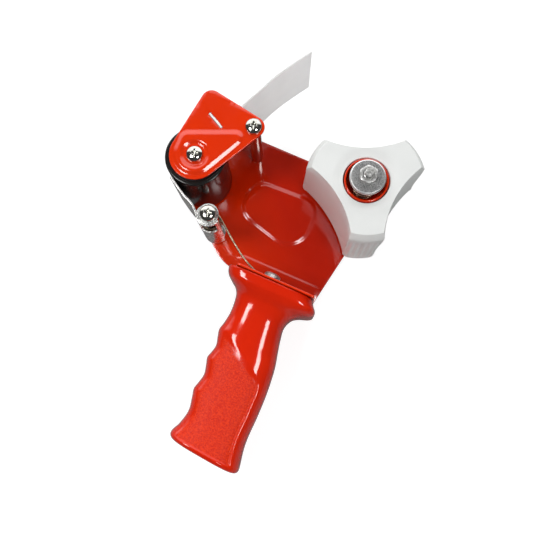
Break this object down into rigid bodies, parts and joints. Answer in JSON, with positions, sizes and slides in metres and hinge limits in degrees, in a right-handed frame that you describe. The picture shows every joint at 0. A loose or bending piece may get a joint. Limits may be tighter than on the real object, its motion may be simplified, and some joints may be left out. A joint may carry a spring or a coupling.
{
  "type": "tape dispenser",
  "caption": "Hand-held packing-tape dispenser: sheet-metal frame on a pistol grip, with a three-lobed roll hub, pressure roller, cutter, wiper strip and sprung tape flap.",
  "frame": {"origin": "on the hub's axis, in the plane of the rear nut and screw heads that the dispenser lies on", "axes": "+X runs back along the seat from the roller end, +Y points away from the handle, +Z runs along the hub's axis towards the open side where a roll goes on"},
  "size_m": [0.1484, 0.2503, 0.072],
  "materials": {
    "red_paint": "glossy orange-red enamel",
    "chrome": "bright plated steel",
    "zinc": "zinc plated, slightly dull",
    "spring_steel": "drawn wire, semi-bright",
    "blade_steel": "ground",
    "black_rubber": "smooth and glossy",
    "black_plastic": "satin moulded",
    "white_plastic": "satin off-white moulding",
    "wiper_plastic": "flexible pale grey strip",
    "red_plastic": "glossy with a fine-grained panel",
    "fibre": "pressed fibre"
  },
  "bodies": {
    "root": {"side_frame": "red_paint", "front_plate": "red_paint", "spacer_post": "chrome", "spacer_post_rear_screw": "zinc", "spacer_post_front_screw": "chrome", "roller_shaft": "zinc", "roller_shaft_rear_screw": "zinc", "roller_shaft_front_screw": "chrome", "pivot_post": "chrome", "pivot_post_rear_screw": "zinc", "pivot_post_front_screw": "chrome", "blade_carrier": "zinc", "cutter_blade": "blade_steel", "blade_rivet_1": "zinc", "blade_rivet_2": "zinc", "wiper_root": "wiper_plastic", "wiper_clamp": "zinc", "clamp_rivet_1": "zinc", "clamp_rivet_2": "zinc", "clamp_rivet_3": "zinc", "torsion_spring": "spring_steel", "axle_stud": "zinc", "axle_rear_nut": "zinc", "friction_washer": "fibre", "tension_spring": "spring_steel", "handle_near_half": "red_plastic", "handle_far_half": "red_plastic", "handle_screw_1": "zinc", "handle_screw_2": "zinc", "handle_bolt": "zinc", "handle_washer": "zinc", "handle_nut": "zinc"},
    "hub": {"hub": "white_plastic", "brake_cup": "red_paint"},
    "roller": {"roller_sleeve": "black_rubber", "roller_rear_bush": "black_plastic", "roller_front_bush": "black_plastic"},
    "retainer": {"retainer_flap": "chrome"},
    "wiper": {"wiper_blade": "wiper_plastic"},
    "tension_washer": {"tension_washer": "zinc"},
    "tension_nut": {"tension_nut": "zinc"}
  },
  "joints": [
    {"name": "hub_spin", "type": "hinge", "parent": "root", "child": "hub", "pos_m": [0, 0, 0.034], "axis": [0, 0, 1], "continuous": true},
    {"name": "roller_spin", "type": "hinge", "parent": "root", "child": "roller", "pos_m": [-0.0995, -0.0263, 0.0317], "axis": [0, 0, 1], "continuous": true},
    {"name": "retainer_swing", "type": "hinge", "parent": "root", "child": "retainer", "pos_m": [-0.0775, -0.0555, 0.0317], "axis": [0, 0, 1], "range_deg": [0, 14], "stiffness_Nm_per_rad": 0.06, "springref_deg": -20.05},
    {"name": "wiper_flex", "type": "hinge", "parent": "root", "child": "wiper", "pos_m": [-0.0864, 0.01456, 0.0319], "axis": [0, 0, 1], "range_deg": [-15, 15], "stiffness_Nm_per_rad": 0.12},
    {"name": "nut_turn", "type": "hinge", "parent": "tension_washer", "child": "tension_nut", "pos_m": [0, 0, 0.0686], "axis": [0, 0, 1], "range_deg": [-720, 360]},
    {"name": "tension_slide", "type": "slide", "parent": "root", "child": "tension_washer", "axis": [0, 0, 1], "range_m": [-0.00199, 0.00099], "deforming": ["tension_spring"]}
  ],
  "couplings": [
    {"joint": "nut_turn", "follows": "tension_slide", "rad_per_m": 6283.2}
  ]
}
